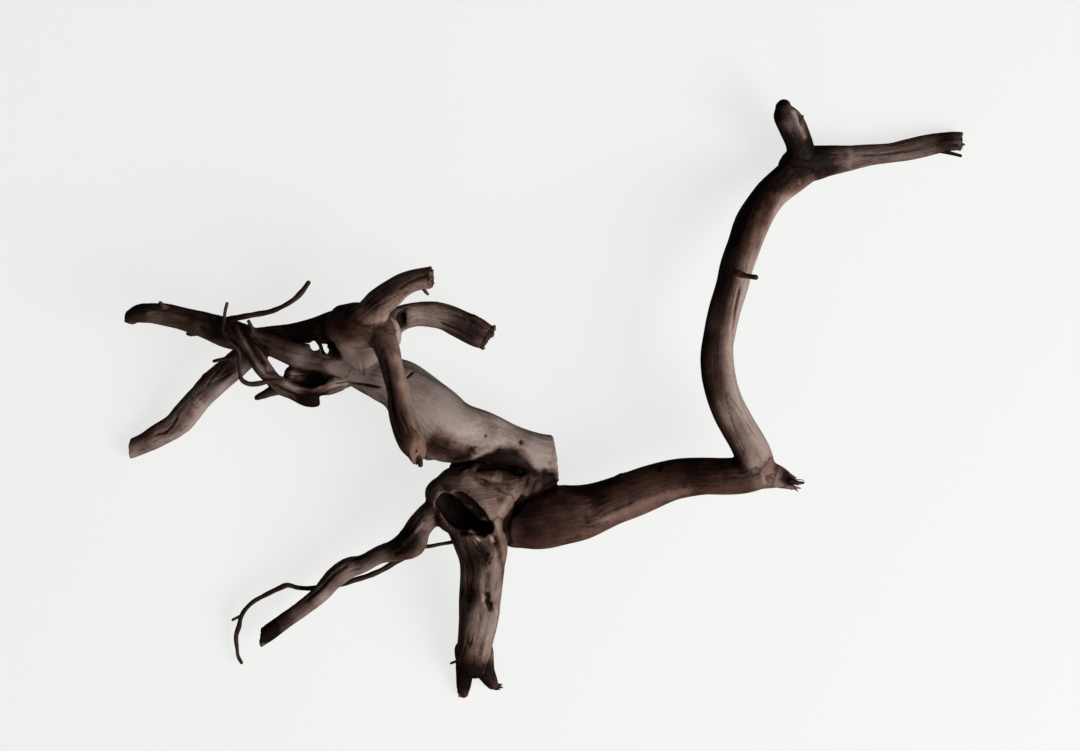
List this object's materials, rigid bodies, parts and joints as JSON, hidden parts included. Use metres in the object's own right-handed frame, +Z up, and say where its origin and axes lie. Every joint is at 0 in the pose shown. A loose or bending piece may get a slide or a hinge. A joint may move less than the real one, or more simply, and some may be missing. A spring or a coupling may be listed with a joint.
{
  "type": "moor root",
  "caption": "Washed, weathered moor root for an aquarium or terrarium: a gnarled stump end with cut and broken roots, lying flat.",
  "frame": {"origin": "on the surface that the root lies on, under the middle of its bounding box", "axes": "+Z up from the surface; +X along the root's longest reach, from the gnarled stump with its short roots towards the long bent arm; +Y across, towards the arm's forked end"},
  "size_m": [0.5119, 0.3648, 0.1133],
  "materials": {
    "weathered_wood": "bare, washed and weathered, dull with a faint sheen on worn ridges"
  },
  "bodies": {
    "root": {"moor_root": "weathered_wood"}
  },
  "joints": []
}
